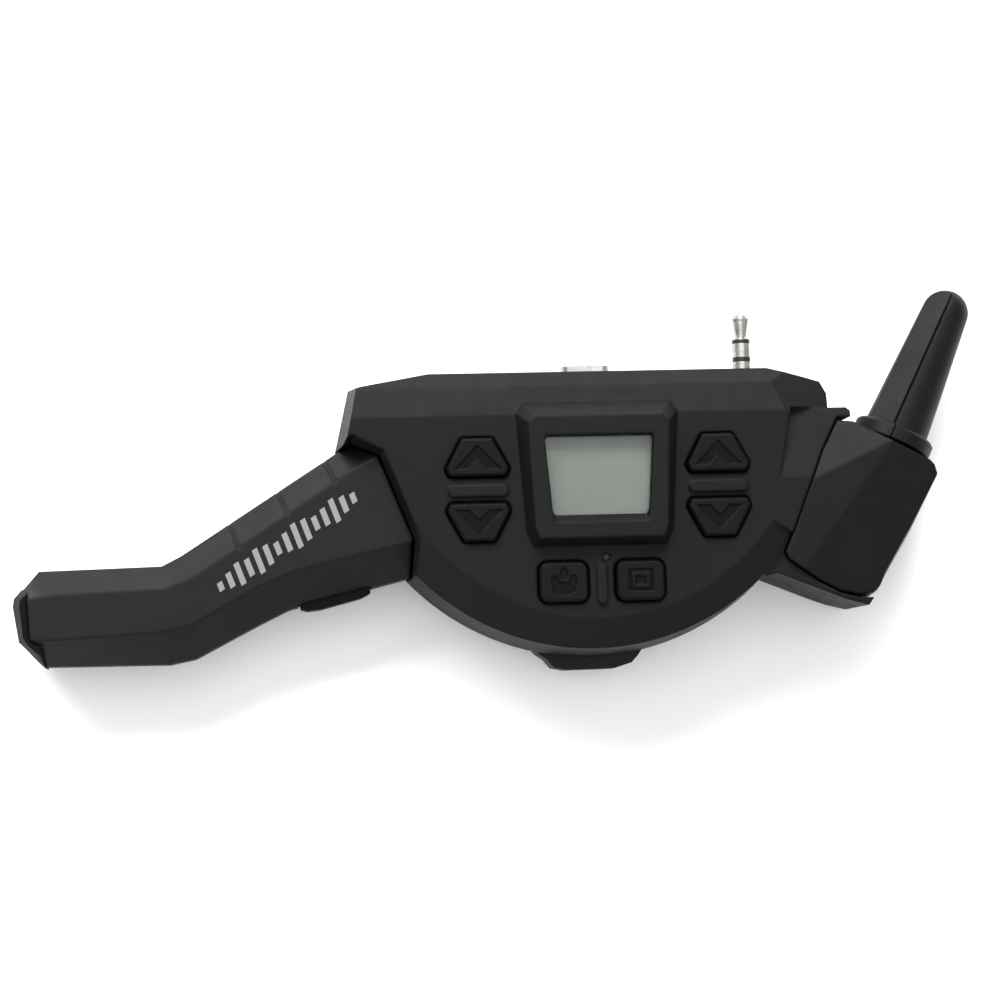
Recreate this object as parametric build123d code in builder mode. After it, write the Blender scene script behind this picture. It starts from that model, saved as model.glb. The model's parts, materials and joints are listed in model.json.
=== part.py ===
from build123d import *
import os
from math import cos, radians, sin, tan

# Hand-held controller of an electronic game caller.
# Frame: the case lies on its flat back. +Z is out of the front face, +Y is
# towards the edge with the plug, the grip runs to -X and the aerial to +X.
# The origin is on the back face, below the middle of the display.
# All lengths are in millimetres.

os.makedirs("parts", exist_ok=True)

# ---------------------------------------------------------------- dimensions
FRONT_Z = 25.4  # front face of the case
SPLIT_Z = 12.0  # plane where all the front and rear shells meet
WALL = 2.0
SPLIT_GAP = 0.12  # half of the gap between two shells
CASE_DRAFT = 6.0  # degrees, both ways from the split plane
ARC_X, ARC_Y, ARC_R = -1.2, 14.5, 46.9  # lower edge of the case, at the split
CREASE_R = 39.6  # inner edge of the lower bevel
RIM_R = 45.5
RIM_Z = 23.8
TOP_Y = 21.9  # top wall of the case, at the split

BAND_Y = 12.5  # the shallow top bevel starts here
BAND_SLOPE = 0.255
EDGE_Y = 18.0  # the steep top bevel starts here
EDGE_SLOPE = 1.15

BEZEL_TOP_Z = 29.0
BEZEL_FOOT_Z = 24.2
WINDOW_Z = 27.6  # outer face of the display window

KEY_X = 22.5  # columns of the arrow keys
KEY_TOP_Z = 26.7
KEY_GAP = 0.35
KEY_TRAVEL = 0.7
KEY_FLANGE_Z = 22.2
INNER_FRONT_Z = 23.4  # inside of the front wall
FUNCTION_X, FUNCTION_Y = 7.15, -18.8
FUNCTION_W, FUNCTION_H = 9.8, 8.2

BOARD_Z, BOARD_T = 16.2, 1.4
SWITCH_TOP_Z = 19.6

GRIP_FRONT_Z, GRIP_BACK_Z = 22.0, 2.0
GRIP_SIDE_Z = 3.8  # half height of the upright side band of the grip

CELL_R, CELL_L = 5.25, 44.5
CELL_Z = 7.4
CELL_Y = (-13.1, -2.2, 8.7)
BAY_X, BAY_LOW_Y, BAY_HIGH_Y = 25.8, -18.7, 14.3
BAY_ROOF_Z = 13.0
DOOR_T = 1.7
HINGE_Y, HINGE_Z, HINGE_R = 15.0, 1.3, 0.6

JACK_X, JACK_TIP_Y, JACK_R = 30.2, 32.6, 1.75
JACK_SEAT_Y = 18.9
USB_W, USB_H = 9.2, 3.3
USB_OUT_Y, USB_IN_Y = 22.9, 16.3

WING_TOP_Z, WING_BACK_Z = 25.0, 1.0
SEAM = 0.6  # gap between the case and the radio housing
AERIAL_BASE = (58.5, 6.55)
AERIAL_ANGLE = 64.9  # degrees from +X
AERIAL_TIP_R, AERIAL_TAPER = 4.5, 3.8
AERIAL_L = 28.1  # from the housing to the centre of the round tip
COLLAR_R, COLLAR_L = 7.8, 3.0
COLLAR_GAP = 0.2  # the collar stands this far off the housing


# ------------------------------------------------------------ shared outlines
def mirrored(points):
    """Right-hand points of a symmetric outline, closed through the left."""
    return points + [(-x, y) for x, y in reversed(points)]


def prism(points, low, high):
    """A private solid with upright walls on a closed outline."""
    with BuildPart() as solid:
        with BuildSketch(Plane.XY.offset(low)):
            Polygon(*points, align=None)
        extrude(amount=high - low)
    return solid.part


def frustum(low_points, low, high_points, high):
    """A private solid between two outlines with matching corners."""
    with BuildPart() as solid:
        with BuildSketch(Plane.XY.offset(low)):
            Polygon(*low_points, align=None)
        with BuildSketch(Plane.XY.offset(high)):
            Polygon(*high_points, align=None)
        loft(ruled=True)
    return solid.part


def slope_plane(x, y, z, run_x, run_y):
    """Plane through a point that falls by run_x and run_y per millimetre."""
    return Plane(origin=(x, y, z), z_dir=(run_x, run_y, 1))


# Radio housing outline, from its lower end round the seam to its top corner
# and back down the outer edge.
WING = [
    (52.3, -22.7),
    (49.0, -22.6),
    (45.3, -21.7),
    (41.5, -19.7),
    (37.8, -17.0),
    (35.6, -15.4),
    (35.0, -14.2),
    (36.8, -10.0),
    (39.9, -2.2),
    (42.9, 4.9),
    (46.2, 11.0),
    (49.2, 10.9),
    (50.8, 10.3),
    (64.7, 3.5),
    (65.9, 2.3),
    (66.6, 0.0),
    (61.0, -10.2),
    (55.8, -18.6),
    (54.2, -21.4),
]

# The same corners at the front, where the outer edge leans in.
WING_FACE = [
    (51.7, -21.8),
    (48.9, -22.2),
    (45.3, -21.4),
    (41.5, -19.5),
    (37.8, -17.0),
    (35.6, -15.4),
    (35.0, -14.2),
    (36.8, -10.0),
    (39.9, -2.2),
    (42.9, 4.9),
    (46.1, 10.4),
    (48.9, 10.1),
    (50.3, 9.4),
    (63.2, 2.5),
    (64.0, 1.6),
    (64.4, 0.0),
    (59.1, -9.3),
    (53.9, -17.8),
    (52.8, -20.5),
]
WING_LEAN_Z = 15.0  # the lean starts here

# The grip: its widest outline, and the edge of its flat front and back faces.
# The corners of the two lists match one to one.
GRIP = [
    (-45.5, 8.2),
    (-47.9, 7.1),
    (-77.6, -11.7),
    (-81.2, -13.5),
    (-103.8, -13.9),
    (-106.9, -17.4),
    (-105.9, -28.0),
    (-102.6, -31.6),
    (-80.0, -31.8),
    (-75.2, -30.9),
    (-63.4, -24.9),
    (-57.5, -22.1),
    (-34.9, -16.8),
    (-34.5, -10.2),
    (-40.6, 5.6),
]
GRIP_FACE = [
    (-40.9, 5.7),
    (-46.0, 3.0),
    (-75.4, -15.9),
    (-80.6, -17.8),
    (-101.0, -18.5),
    (-105.6, -19.2),
    (-105.2, -26.6),
    (-103.8, -27.0),
    (-81.2, -25.9),
    (-75.4, -24.6),
    (-63.9, -18.2),
    (-56.5, -15.2),
    (-34.9, -10.3),
    (-34.7, -9.9),
    (-40.7, 5.4),
]
GRIP_LOW_Z, GRIP_HIGH_Z = SPLIT_Z - GRIP_SIDE_Z, SPLIT_Z + GRIP_SIDE_Z

# Arrow key opening, above the middle of its column, and its debossed mark.
ARROW = [(3.1, 8.6), (6.35, 2.6), (5.5, 0.75), (-5.5, 0.75), (-6.35, 2.6), (-3.1, 8.6)]
CHEVRON = [(0, 7.0), (4.4, 2.4), (1.9, 2.4), (0, 4.3), (-1.9, 2.4), (-4.4, 2.4)]
COLUMN_MID_Y = -1.35
WINDOW = [(9.7, 8.0), (10.0, 7.4), (8.9, -5.9), (8.4, -6.5)]
WINDOW = WINDOW + [(-x, y) for x, y in reversed(WINDOW)]

CASE_SCREWS = [(-38.6, 13.4), (-29.8, -11.5), (31.0, -9.4), (38.0, 13.0)]
GRIP_SCREWS = [(-93.0, -22.6), (-66.0, -15.4), (-46.6, -4.6)]
WING_SCREWS = [(46.5, -9.7), (57.5, -1.5)]

DOOR = [(25.5, 15.0), (25.5, -17.5), (19.0, -21.5), (9.0, -28.0)]
DOOR = DOOR + [(-x, y) for x, y in reversed(DOOR)]
LATCH = [
    (-11.3, -31.0),
    (-10.8, -31.6),
    (-9.2, -32.7),
    (-7.9, -34.3),
    (-5.5, -34.8),
    (3.7, -34.7),
    (7.0, -33.7),
    (8.2, -32.4),
    (9.4, -30.7),
    (9.4, -30.2),
    (-11.3, -30.2),
]
LATCH_X, LATCH_WALL_Y = -1.2, -28.4
LATCH_LOW_Z, LATCH_HIGH_Z = 4.2, 11.7

# Tongue of the case inside the grip, and spar of the case inside the wing.
TONGUE = [(-38.4, 2.9), (-35.7, -4.2), (-48.8, -9.2), (-51.5, -2.1)]
SPAR = [(38.3, -3.2), (36.1, -8.8), (48.2, -13.6), (50.4, -8.0)]
LINK_LOW_Z, LINK_HIGH_Z = 6.0, 10.0

# Ways for the leads through the end walls, above the split.
GRIP_CABLE = [(-46.5, -6.2), (-31.5, -0.4), (-32.3, 1.6), (-47.3, -4.2)]
WING_CABLE = [(34.0, -6.0), (44.0, -6.0), (44.0, -3.8), (34.0, -3.8)]
CABLE_HIGH_Z = 14.4


# ------------------------------------------------------------- case envelope
with BuildPart() as case_block:
    for way in (1, -1):
        with BuildSketch(Plane.XY.offset(SPLIT_Z)):
            with BuildLine():
                top = Polyline(
                    (ARC_X + ARC_R, ARC_Y),
                    (45.7, 16.3),
                    (44.3, 19.0),
                    (41.5, 19.8),
                    (33.4, TOP_Y),
                    (-31.0, TOP_Y),
                    (-44.0, 19.7),
                    (-45.6, 19.0),
                    (-48.4, 6.9),
                    (-36.2, -16.5),
                )
                ThreePointArc(top @ 1, (ARC_X, ARC_Y - ARC_R), top @ 0)
            make_face()
        amount = FRONT_Z - SPLIT_Z if way > 0 else SPLIT_Z
        extrude(amount=way * amount, taper=CASE_DRAFT)
    split(bisect_by=slope_plane(0, BAND_Y, FRONT_Z, 0, BAND_SLOPE), keep=Keep.BOTTOM)
    edge_z = FRONT_Z - BAND_SLOPE * (EDGE_Y - BAND_Y)
    split(bisect_by=slope_plane(0, EDGE_Y, edge_z, 0, EDGE_SLOPE), keep=Keep.BOTTOM)
    split(bisect_by=slope_plane(35.7, 12.8, FRONT_Z, 0.52, 0.48), keep=Keep.BOTTOM)

# Lower bevel: a shallow cone round the arc of the lower edge.
with BuildPart() as lower_bevel:
    with BuildSketch(Plane.XZ):
        Polygon(
            (CREASE_R, FRONT_Z),
            (RIM_R, RIM_Z),
            (70, RIM_Z),
            (70, FRONT_Z + 3),
            (CREASE_R, FRONT_Z + 3),
            align=None,
        )
    revolve(axis=Axis.Z, revolution_arc=114)
bevel_cut = Location((-0.3, 14.0, 0), (0, 0, -148)) * lower_bevel.part

# Arm that carries the radio housing. Its upper part slopes down to +Y.
ARM_CREASE_Y, ARM_SLOPE = -0.3, 0.22
arm_slope = slope_plane(0, ARM_CREASE_Y, FRONT_Z, 0, ARM_SLOPE)
ARM = [
    (28.0, -12.0),
    (31.2, -18.6),
    (33.4, -18.0),
    (44.0, -22.3),
    (47.0, -23.4),
    (50.9, -24.4),
    (51.9, -23.0),
    (50.0, -8.0),
    (48.6, 11.0),
    (48.6, 12.4),
    (47.8, 13.0),
    (36.8, 13.0),
    (34.0, 0.0),
]
arm_fall = slope_plane(56.5, 6.5, WING_TOP_Z + 0.3, 0.158, -0.122)
arm_block = split(prism(ARM, 1.2, FRONT_Z), bisect_by=arm_slope, keep=Keep.BOTTOM)
arm_block = split(arm_block, bisect_by=arm_fall, keep=Keep.BOTTOM)
arm_recess = prism([(36.8, 13.0), (34.3, -0.3), (60, -0.3), (60, 13.0)], 15, 35)
arm_recess = split(arm_recess, bisect_by=arm_slope, keep=Keep.TOP)


def grown(points, amount, low, high):
    """A private prism on an outline grown by an amount, with sharp corners."""
    with BuildPart() as solid:
        with BuildSketch(Plane.XY.offset(low)):
            Polygon(*points, align=None)
            offset(amount=amount, kind=Kind.INTERSECTION)
        extrude(amount=high - low)
    return solid.part


def grown_frustum(low_points, low_amount, low, high_points, high_amount, high):
    """A private solid between two outlines, each grown by its own amount."""
    with BuildPart() as solid:
        with BuildSketch(Plane.XY.offset(low)):
            Polygon(*low_points, align=None)
            offset(amount=low_amount, kind=Kind.INTERSECTION)
        with BuildSketch(Plane.XY.offset(high)):
            Polygon(*high_points, align=None)
            offset(amount=high_amount, kind=Kind.INTERSECTION)
        loft(ruled=True)
    return solid.part


wing_gap = grown(WING, SEAM / 2, -5, 40)
grip_gap = grown(GRIP, 0.3, GRIP_LOW_Z, GRIP_FRONT_Z + 0.3)
grip_flare = grown_frustum(GRIP, 0.3, GRIP_FRONT_Z + 0.2, GRIP, 1.3, FRONT_Z + 0.4)
grip_cradle = grown_frustum(GRIP_FACE, 0.3, GRIP_BACK_Z - 0.3, GRIP, 0.3, GRIP_LOW_Z)

with BuildPart() as case_form:
    add(case_block.part)
    add(arm_recess, mode=Mode.SUBTRACT)
    add(arm_block)
    add(bevel_cut, mode=Mode.SUBTRACT)
    add(wing_gap, mode=Mode.SUBTRACT)
    add(grip_gap, mode=Mode.SUBTRACT)
    add(grip_flare, mode=Mode.SUBTRACT)
    add(grip_cradle, mode=Mode.SUBTRACT)

# ------------------------------------------------------------------ cavities
def hollow(points, arc_end, arc_mid, arc_start, low, high, grow=0):
    """A private prism on straight sides closed by the lower arc."""
    with BuildPart() as solid:
        with BuildSketch(Plane.XY.offset(low)):
            with BuildLine():
                Polyline(arc_start, *points, arc_end)
                ThreePointArc(arc_end, arc_mid, arc_start)
            make_face()
            if grow:
                offset(amount=grow)
        extrude(amount=high - low)
    return solid.part


ROOM = [
    (34.2, -9.9),
    (37.2, -2.4),
    (40.2, 4.8),
    (42.6, 10.0),
    (42.6, 13.2),
    (40.5, 15.6),
    (32.8, 18.8),
    (-30.5, 18.8),
    (-41.8, 16.8),
    (-43.4, 15.5),
    (-44.3, 10.6),
    (-40.5, 9.2),
    (-38.3, 6.9),
    (-31.2, -11.0),
]
ROOM_ENDS = ((-30.0, -17.2), (ARC_X, -28.6), (31.4, -13.8))
HIGH_ROOM = [
    (32.2, -9.0),
    (32.2, 14.0),
    (-36.5, 14.0),
    (-38.6, 9.5),
    (-37.2, 6.2),
    (-31.0, -9.0),
]
HIGH_ROOM_ENDS = ((-28.2, -16.0), (ARC_X, -26.6), (30.0, -13.8))
ROOM_Z = 20.0  # above this the room is smaller, under the bevels

BOSS_R = 2.6
POST_R = 2.2
BOARD_SCREWS = [(-30.5, 12.0), (24.5, 13.2), (-23.4, -15.8), (23.4, -15.8)]


def posts(spots, radius, low, high):
    """Private upright cylinders on a list of spots."""
    with BuildPart() as solid:
        with BuildSketch(Plane.XY.offset(low)):
            with Locations(*spots):
                Circle(radius)
        extrude(amount=high - low)
    return solid.part


with BuildPart() as front_room:
    add(hollow(ROOM, *ROOM_ENDS, SPLIT_Z, ROOM_Z))
    add(hollow(HIGH_ROOM, *HIGH_ROOM_ENDS, ROOM_Z, INNER_FRONT_Z))
    add(posts(CASE_SCREWS, BOSS_R, SPLIT_Z, FRONT_Z), mode=Mode.SUBTRACT)
    add(posts(BOARD_SCREWS, POST_R, BOARD_Z + BOARD_T, FRONT_Z), mode=Mode.SUBTRACT)

# Battery bay tub: solid block, the clearance round it and its inside.
TUB_WALL = 1.6
tub_mid_y = (BAY_LOW_Y + BAY_HIGH_Y) / 2
tub_size_y = BAY_HIGH_Y - BAY_LOW_Y
with BuildPart() as tub:
    with Locations((0, tub_mid_y, 1.0)):
        Box(
            2 * (BAY_X + TUB_WALL),
            tub_size_y + 2 * TUB_WALL,
            BAY_ROOF_Z + TUB_WALL - 1.0,
            align=(Align.CENTER, Align.CENTER, Align.MIN),
        )
with BuildPart() as tub_room:
    with Locations((0, tub_mid_y, SPLIT_Z)):
        Box(
            2 * (BAY_X + TUB_WALL + 0.3),
            tub_size_y + 2 * (TUB_WALL + 0.3),
            BAY_ROOF_Z + TUB_WALL + 0.3 - SPLIT_Z,
            align=(Align.CENTER, Align.CENTER, Align.MIN),
        )
with BuildPart() as bay:
    with Locations((0, tub_mid_y, -1.0)):
        Box(
            2 * BAY_X,
            tub_size_y,
            BAY_ROOF_Z + 1.0,
            align=(Align.CENTER, Align.CENTER, Align.MIN),
        )
DOOR_PAD_Z = 4.0
with BuildPart() as rear_room:
    add(hollow(ROOM, *ROOM_ENDS, WALL, SPLIT_Z + 1))
    add(posts(CASE_SCREWS, BOSS_R + 0.4, WALL, SPLIT_Z + 1), mode=Mode.SUBTRACT)
    add(grown(DOOR, 2.7, WALL, DOOR_PAD_Z), mode=Mode.SUBTRACT)
    add(tub.part, mode=Mode.SUBTRACT)

# ------------------------------------------------- connectors in the top wall
USB_X = -0.2
with BuildPart() as usb_hole:
    with BuildSketch(Plane((USB_X, 17.0, SPLIT_Z), x_dir=(1, 0, 0), z_dir=(0, 1, 0))):
        SlotOverall(USB_W + 0.5, USB_H + 0.5)
    extrude(amount=8)
with BuildPart() as jack_well:
    with BuildSketch(Plane((JACK_X, 17.6, SPLIT_Z), z_dir=(0, 1, 0))):
        Circle(4.2)
    extrude(amount=8)

# ---------------------------------------------------------------- front shell
BEZEL_FOOT = mirrored([(14.2, 15.3), (15.95, 13.5), (14.3, -9.4), (12.8, -12.7)])
BEZEL_TOP = mirrored([(11.9, 11.8), (13.1, 10.7), (12.3, -8.9), (11.5, -10.8)])
WINDOW_TOP = mirrored([(9.9, 8.3), (10.2, 7.7), (9.1, -7.0), (8.6, -8.0)])
LENS = mirrored([(11.2, 9.2), (11.2, -8.2)])
BEZEL_ROOM = mirrored([(11.4, 9.4), (11.4, -8.4)])


def column(points, side, way):
    """Key outline moved to a column; way is 1 for up keys and -1 for down."""
    return [(side * KEY_X + x, COLUMN_MID_Y + way * (y - COLUMN_MID_Y)) for x, y in points]


def key_solid(points, round_by, shrink, low, high):
    """A private prism on a key outline with rounded corners."""
    with BuildPart() as solid:
        with BuildSketch(Plane.XY.offset(low)):
            Polygon(*points, align=None)
            fillet(vertices(), radius=round_by)
            if shrink:
                offset(amount=-shrink)
        extrude(amount=high - low)
    return solid.part


ARROW_SPOTS = [(-1, 1), (-1, -1), (1, 1), (1, -1)]
HALF_W, HALF_H = FUNCTION_W / 2, FUNCTION_H / 2


def function_outline(side, grow):
    """Corners of a function key opening."""
    x, y = side * FUNCTION_X, FUNCTION_Y
    w, h = HALF_W + grow, HALF_H + grow
    return [(x - w, y - h), (x + w, y - h), (x + w, y + h), (x - w, y + h)]


LIGHT_X, LIGHT_Y = 1.0, -14.4
BAR_W, BAR_H, BAR_Z = 11.2, 2.2, 26.4
TRUNK_W, TRUNK_H = 1.8, 7.6
TRUNK_Y = -19.3

with BuildPart() as front_shell:
    add(case_form.part)
    add(frustum(BEZEL_FOOT, BEZEL_FOOT_Z, BEZEL_TOP, BEZEL_TOP_Z))
    split(bisect_by=Plane.XY.offset(SPLIT_Z + SPLIT_GAP), keep=Keep.TOP)
    add(front_room.part, mode=Mode.SUBTRACT)
    add(tub_room.part, mode=Mode.SUBTRACT)
    add(prism(BEZEL_ROOM, INNER_FRONT_Z - 1, WINDOW_Z - 0.05), mode=Mode.SUBTRACT)
    add(prism(WINDOW, WINDOW_Z - 1, WINDOW_Z), mode=Mode.SUBTRACT)
    add(frustum(WINDOW, WINDOW_Z - 0.1, WINDOW_TOP, BEZEL_TOP_Z + 0.01), mode=Mode.SUBTRACT)
    for side, way in ARROW_SPOTS:
        hole = key_solid(column(ARROW, side, way), 1.1, 0, INNER_FRONT_Z - 1, FRONT_Z + 1)
        add(hole, mode=Mode.SUBTRACT)
    for side in (-1, 1):
        hole = key_solid(function_outline(side, 0), 2.0, 0, INNER_FRONT_Z - 1, FRONT_Z + 1)
        add(hole, mode=Mode.SUBTRACT)
        with BuildSketch(Plane.XY.offset(FRONT_Z - 0.5)):
            with Locations((side * KEY_X, COLUMN_MID_Y - 0.15)):
                SlotOverall(BAR_W, BAR_H)
        extrude(amount=BAR_Z - FRONT_Z + 0.5)
    with BuildSketch(Plane.XY.offset(FRONT_Z - 0.5)):
        with Locations((0, TRUNK_Y)):
            SlotOverall(TRUNK_H, TRUNK_W, rotation=90)
    extrude(amount=BAR_Z - FRONT_Z + 0.4)
    add(posts([(LIGHT_X, LIGHT_Y)], 0.75, INNER_FRONT_Z - 1, FRONT_Z + 1), mode=Mode.SUBTRACT)
    add(posts(CASE_SCREWS, 1.2, SPLIT_Z, 18.2), mode=Mode.SUBTRACT)
    add(posts(BOARD_SCREWS, 0.85, BOARD_Z, 21.4), mode=Mode.SUBTRACT)
    add(usb_hole.part, mode=Mode.SUBTRACT)
    add(jack_well.part, mode=Mode.SUBTRACT)
    add(prism(GRIP_CABLE, SPLIT_Z, CABLE_HIGH_Z), mode=Mode.SUBTRACT)
    add(prism(WING_CABLE, SPLIT_Z, CABLE_HIGH_Z), mode=Mode.SUBTRACT)
front_shell.part.label = "front_shell"
export_step(front_shell.part, "parts/front_shell.step")

# ----------------------------------------------------------------- rear shell
with BuildPart() as latch_pocket:
    add(grown(LATCH, 0.2, LATCH_LOW_Z - 0.2, SPLIT_Z))
    with Locations((LATCH_X, LATCH_WALL_Y, LATCH_LOW_Z - 0.2)):
        Box(
            21.6,
            4.0,
            SPLIT_Z - LATCH_LOW_Z + 0.2,
            align=(Align.CENTER, Align.MAX, Align.MIN),
        )
with BuildPart() as hinge_groove:
    with Locations((0, HINGE_Y, HINGE_Z)):
        Cylinder(1.5, 51.6, rotation=(0, 90, 0))
        Box(51.6, 3.0, 4.0, align=(Align.CENTER, Align.CENTER, Align.MAX))

# Ribs inside the rear shell that back the latch spring.
with BuildPart() as latch_backing:
    with Locations((LATCH_X, LATCH_WALL_Y, WALL)):
        Box(
            24.0,
            1.6,
            SPLIT_Z - SPLIT_GAP - WALL,
            align=(Align.CENTER, Align.MIN, Align.MIN),
        )

with BuildPart() as rear_shell:
    add(case_form.part)
    split(bisect_by=Plane.XY.offset(SPLIT_Z - SPLIT_GAP), keep=Keep.BOTTOM)
    add(rear_room.part, mode=Mode.SUBTRACT)
    add(latch_backing.part)
    with Locations((0, tub_mid_y, SPLIT_Z - 1)):
        Box(
            2 * (BAY_X + TUB_WALL),
            tub_size_y + 2 * TUB_WALL,
            BAY_ROOF_Z + TUB_WALL - SPLIT_Z + 1,
            align=(Align.CENTER, Align.CENTER, Align.MIN),
        )
    add(bay.part, mode=Mode.SUBTRACT)
    add(prism(TONGUE, LINK_LOW_Z, LINK_HIGH_Z))
    add(prism(SPAR, LINK_LOW_Z, LINK_HIGH_Z))
    add(grown(DOOR, 0.25, -1, DOOR_T + 0.2), mode=Mode.SUBTRACT)
    add(hinge_groove.part, mode=Mode.SUBTRACT)
    add(latch_pocket.part, mode=Mode.SUBTRACT)
    add(posts(CASE_SCREWS, 2.5, -1, 3.2), mode=Mode.SUBTRACT)
    add(posts(CASE_SCREWS, 1.3, -1, SPLIT_Z), mode=Mode.SUBTRACT)
    add(posts([GRIP_SCREWS[2], WING_SCREWS[0]], 1.1, 5, SPLIT_Z), mode=Mode.SUBTRACT)
    add(usb_hole.part, mode=Mode.SUBTRACT)
    add(jack_well.part, mode=Mode.SUBTRACT)
rear_shell.part.label = "rear_shell"
export_step(rear_shell.part, "parts/rear_shell.step")

# ------------------------------------------------------------ seal and screws
with BuildPart() as shell_seal:
    add(hollow(ROOM, *ROOM_ENDS, SPLIT_Z - SPLIT_GAP, SPLIT_Z + SPLIT_GAP, 1.2))
    add(hollow(ROOM, *ROOM_ENDS, SPLIT_Z - 1, SPLIT_Z + 1, 0.2), mode=Mode.SUBTRACT)
    add(Location((0, 0, -1)) * tub_room.part, mode=Mode.SUBTRACT)
    add(usb_hole.part, mode=Mode.SUBTRACT)
    add(jack_well.part, mode=Mode.SUBTRACT)
shell_seal.part.label = "shell_seal"
export_step(shell_seal.part, "parts/shell_seal.step")


def screws(spots, head_r, head_low, head_high, shank_r, tip_z):
    """Private hex-socket screws standing on their heads, driven from the back."""
    with BuildPart() as group:
        add(posts(spots, head_r, head_low, head_high))
        fillet(group.edges().group_by(Axis.Z)[0], radius=0.3)
        add(posts(spots, shank_r, head_high, tip_z))
        chamfer(group.edges().group_by(Axis.Z)[-1], length=0.4)
        with BuildSketch(Plane.XY.offset(head_low)):
            with Locations(*spots):
                RegularPolygon(head_r * 0.5, 6)
        extrude(amount=(head_high - head_low) * 0.6, mode=Mode.SUBTRACT)
    return group.part


with BuildPart() as case_screws:
    add(screws(CASE_SCREWS, 2.2, 1.2, 3.2, 1.15, 17.8))
case_screws.part.label = "case_screws"
export_step(case_screws.part, "parts/case_screws.step")

with BuildPart() as board_screws:
    add(screws(BOARD_SCREWS, 1.7, BOARD_Z - 1.2, BOARD_Z, 0.8, 21.0))
board_screws.part.label = "board_screws"
export_step(board_screws.part, "parts/board_screws.step")

# -------------------------------------------------------------------- display
with BuildPart() as display_window:
    add(prism(LENS, WINDOW_Z - 1.3, WINDOW_Z - 0.1))
display_window.part.label = "display_window"
export_step(display_window.part, "parts/display_window.step")

PANEL = mirrored([(11.0, 9.0), (11.0, -8.0)])
PANEL_LOW_Z, PANEL_HIGH_Z = 24.4, 26.0
with BuildPart() as display_panel:
    add(prism(PANEL, PANEL_LOW_Z, PANEL_HIGH_Z))
    with Locations((0, -8.0, PANEL_LOW_Z)):
        Box(14.0, 0.8, 0.7, align=(Align.CENTER, Align.MIN, Align.MIN), mode=Mode.SUBTRACT)
display_panel.part.label = "display_panel"
export_step(display_panel.part, "parts/display_panel.step")

with BuildPart() as display_frame:
    add(prism(PANEL, BOARD_Z + BOARD_T, PANEL_LOW_Z))
    with Locations((0, 0.5, BOARD_Z + BOARD_T)):
        Box(19.6, 14.6, 5.6, align=(Align.CENTER, Align.CENTER, Align.MIN), mode=Mode.SUBTRACT)
display_frame.part.label = "display_frame"
export_step(display_frame.part, "parts/display_frame.step")

# ------------------------------------------------------------- board, switches
BOARD = [
    (-34.0, 16.0),
    (33.0, 16.0),
    (34.0, 9.5),
    (34.0, 0.5),
    (27.2, -5.2),
    (27.2, -14.8),
    (14.0, -24.0),
    (-14.0, -24.0),
    (-26.8, -15.5),
    (-26.8, -5.8),
    (-33.0, 3.5),
]
with BuildPart() as main_board:
    add(prism(BOARD, BOARD_Z, BOARD_Z + BOARD_T))
    add(posts(BOARD_SCREWS, 0.9, BOARD_Z, BOARD_Z + BOARD_T), mode=Mode.SUBTRACT)
    with Locations((0, 13.0, BOARD_Z + BOARD_T), (-13.6, -14.4, BOARD_Z + BOARD_T)):
        Box(6.0, 4.0, 1.0, align=(Align.CENTER, Align.CENTER, Align.MIN))
    with Locations((LIGHT_X, LIGHT_Y, BOARD_Z + BOARD_T)):
        Box(1.6, 1.6, 0.8, align=(Align.CENTER, Align.CENTER, Align.MIN))
main_board.part.label = "main_board"
export_step(main_board.part, "parts/main_board.step")

KEY_MID_Y = 4.4  # middle of an up key
arrow_mids = [column([(0, KEY_MID_Y)], side, way)[0] for side, way in ARROW_SPOTS]
function_mids = [(side * FUNCTION_X, FUNCTION_Y) for side in (-1, 1)]
with BuildPart() as key_switches:
    for x, y in arrow_mids + function_mids:
        with Locations((x, y, BOARD_Z + BOARD_T)):
            Box(4.5, 4.5, 1.3, align=(Align.CENTER, Align.CENTER, Align.MIN))
        add(posts([(x, y)], 1.1, BOARD_Z + BOARD_T + 1.3, SWITCH_TOP_Z))
key_switches.part.label = "key_switches"
export_step(key_switches.part, "parts/key_switches.step")

# ----------------------------------------------------------------------- keys
POST_TIP_Z = SWITCH_TOP_Z + KEY_TRAVEL + 0.1
CHEVRON_DEPTH = 0.35


def arrow_key(side, way):
    """A private arrow key: cap, flange behind the wall, post and mark."""
    outline = column(ARROW, side, way)
    with BuildPart() as key:
        add(key_solid(outline, 1.1, KEY_GAP, KEY_FLANGE_Z, KEY_TOP_Z))
        chamfer(key.edges().group_by(Axis.Z)[-1], length=0.45)
        add(key_solid(outline, 1.1, -0.9, KEY_FLANGE_Z, INNER_FRONT_Z - 0.05))
        add(posts(column([(0, KEY_MID_Y)], side, way), 1.6, POST_TIP_Z, KEY_FLANGE_Z))
        mark = prism(column(CHEVRON, side, way), KEY_TOP_Z - CHEVRON_DEPTH, KEY_TOP_Z + 1)
        add(mark, mode=Mode.SUBTRACT)
    return key.part


with BuildPart() as left_up_key:
    add(arrow_key(-1, 1))
left_up_key.part.label = "left_up_key"
export_step(left_up_key.part, "parts/left_up_key.step")

with BuildPart() as left_down_key:
    add(arrow_key(-1, -1))
left_down_key.part.label = "left_down_key"
export_step(left_down_key.part, "parts/left_down_key.step")

with BuildPart() as right_up_key:
    add(arrow_key(1, 1))
right_up_key.part.label = "right_up_key"
export_step(right_up_key.part, "parts/right_up_key.step")

with BuildPart() as right_down_key:
    add(arrow_key(1, -1))
right_down_key.part.label = "right_down_key"
export_step(right_down_key.part, "parts/right_down_key.step")


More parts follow.
